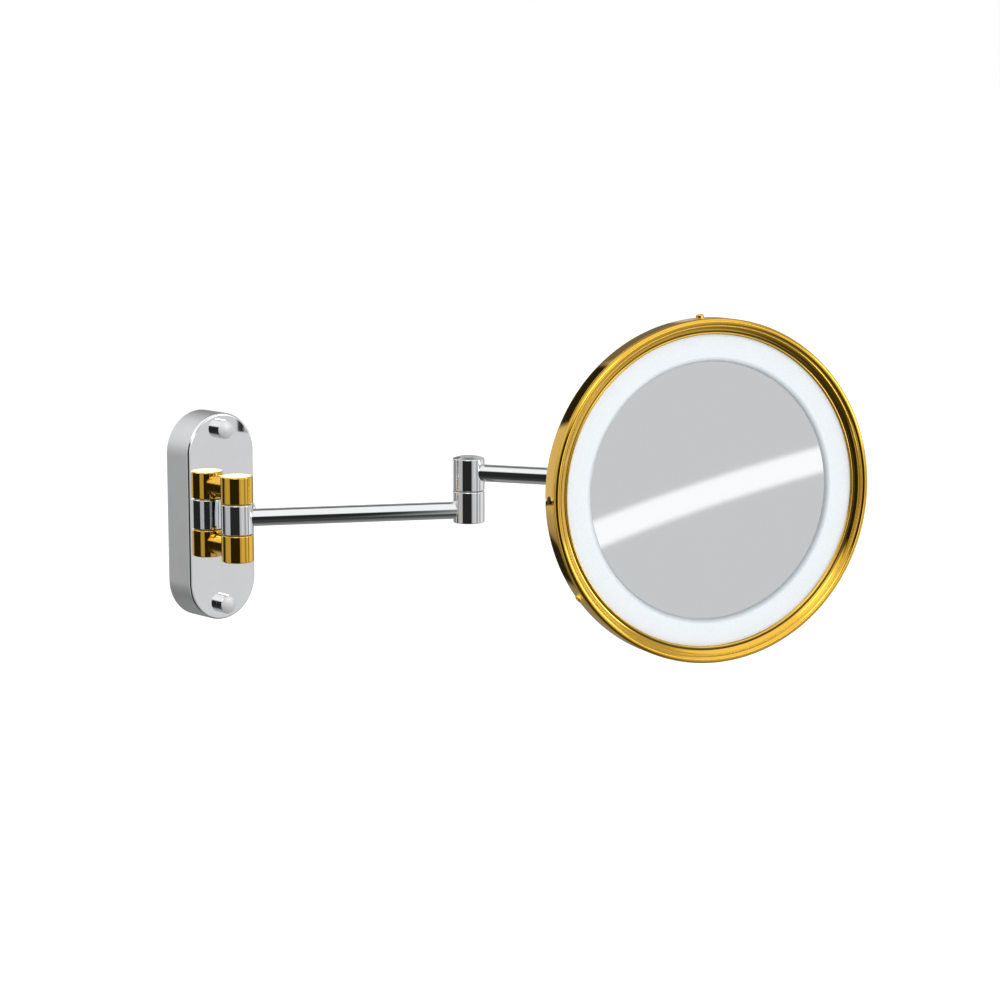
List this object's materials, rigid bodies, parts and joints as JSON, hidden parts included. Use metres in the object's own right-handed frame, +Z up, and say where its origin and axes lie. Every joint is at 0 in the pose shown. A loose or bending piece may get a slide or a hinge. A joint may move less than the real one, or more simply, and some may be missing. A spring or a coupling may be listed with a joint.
{
  "type": "extendable shaving mirror",
  "caption": "Wall-mounted lit magnifying shaving mirror in gold and chrome, on a folding double arm with a panning and tilting round head and a push switch.",
  "frame": {"origin": "centre of the wall box's back face, on the wall", "axes": "+Z up, -Y out of the wall into the room, +X to the right as seen facing the wall; the pictured pose is the rest pose"},
  "size_m": [0.2916, 0.3213, 0.2068],
  "materials": {
    "chrome": "polished",
    "gold": "polished gold plate",
    "zinc_steel": "zinc plated",
    "dark_steel": "blackened",
    "aluminium": "mill",
    "white_nylon": "satin",
    "black_plastic": "satin",
    "black_rubber": "matt",
    "lead_sheath": "matt",
    "button_white": "satin",
    "opal": "satin, lit from behind",
    "mirror": "silvered glass",
    "board_white": "matt",
    "lamp": "gloss"
  },
  "bodies": {
    "wall_box": {"wall_bracket": "zinc_steel", "bracket_studs": "zinc_steel", "wall_box_cover": "chrome", "cap_nuts": "chrome", "hinge_knuckle_upper": "gold", "hinge_knuckle_lower": "gold", "hinge_pin": "zinc_steel", "hinge_plug": "gold", "hinge_washers": "white_nylon", "stem_washers": "zinc_steel", "stem_nuts": "zinc_steel", "cable_grommet": "black_rubber", "terminal_block": "white_nylon", "led_driver": "black_plastic", "driver_leads": "lead_sheath", "switch_body": "black_plastic", "switch_collar": "gold", "switch_nut": "zinc_steel", "switch_spring": "zinc_steel"},
    "switch_button": {"switch_button": "button_white"},
    "arm_1": {"arm_1_barrel": "chrome", "arm_1_tube": "chrome", "arm_1_lead": "lead_sheath", "elbow_lower": "chrome", "elbow_slip_washer": "white_nylon", "elbow_plug": "chrome"},
    "arm_2": {"elbow_upper": "chrome", "elbow_pin": "zinc_steel", "elbow_nut": "zinc_steel", "elbow_spring_washer": "zinc_steel", "arm_2_tube": "chrome", "arm_2_lead": "lead_sheath", "arm_2_end_barrel": "chrome"},
    "swivel": {"swivel_yoke": "chrome", "swivel_pin": "chrome", "swivel_washers": "white_nylon"},
    "head": {"head_bracket": "gold", "bracket_screws": "gold", "clamp_plate": "zinc_steel", "tilt_bolt": "chrome", "tilt_nut": "chrome", "tilt_washers": "white_nylon", "rear_shell": "gold", "front_rim": "gold", "rim_screws": "gold", "side_screw": "dark_steel", "diffuser_ring": "opal", "mirror_glass": "mirror", "mirror_seat": "white_nylon", "led_backplate": "aluminium", "backplate_screws": "zinc_steel", "led_board": "board_white", "led_chips": "lamp", "reflector_ring": "white_nylon"}
  },
  "joints": [
    {"name": "arm_1_swing", "type": "hinge", "parent": "wall_box", "child": "arm_1", "pos_m": [0, -0.0369, 0.0005], "axis": [0, 0, 1], "range_deg": [-145, 28]},
    {"name": "elbow_swing", "type": "hinge", "parent": "arm_1", "child": "arm_2", "pos_m": [0.12475, -0.11275, 0.0135], "axis": [0, 0, 1], "range_deg": [-80, 60]},
    {"name": "head_pan", "type": "hinge", "parent": "arm_2", "child": "swivel", "pos_m": [0.18655, -0.22996, 0.0248], "axis": [0, 0, 1], "range_deg": [-40, 130]},
    {"name": "head_tilt", "type": "hinge", "parent": "swivel", "child": "head", "pos_m": [0.17831, -0.25035, 0.0248], "axis": [0.9272, -0.3746, 0], "range_deg": [-23, 27]},
    {"name": "switch_press", "type": "slide", "parent": "wall_box", "child": "switch_button", "axis": [-1, 0, 0], "range_m": [0, 0.0015], "stiffness_N_per_m": 400, "springref_m": -0.001, "deforming": ["switch_spring"]}
  ]
}
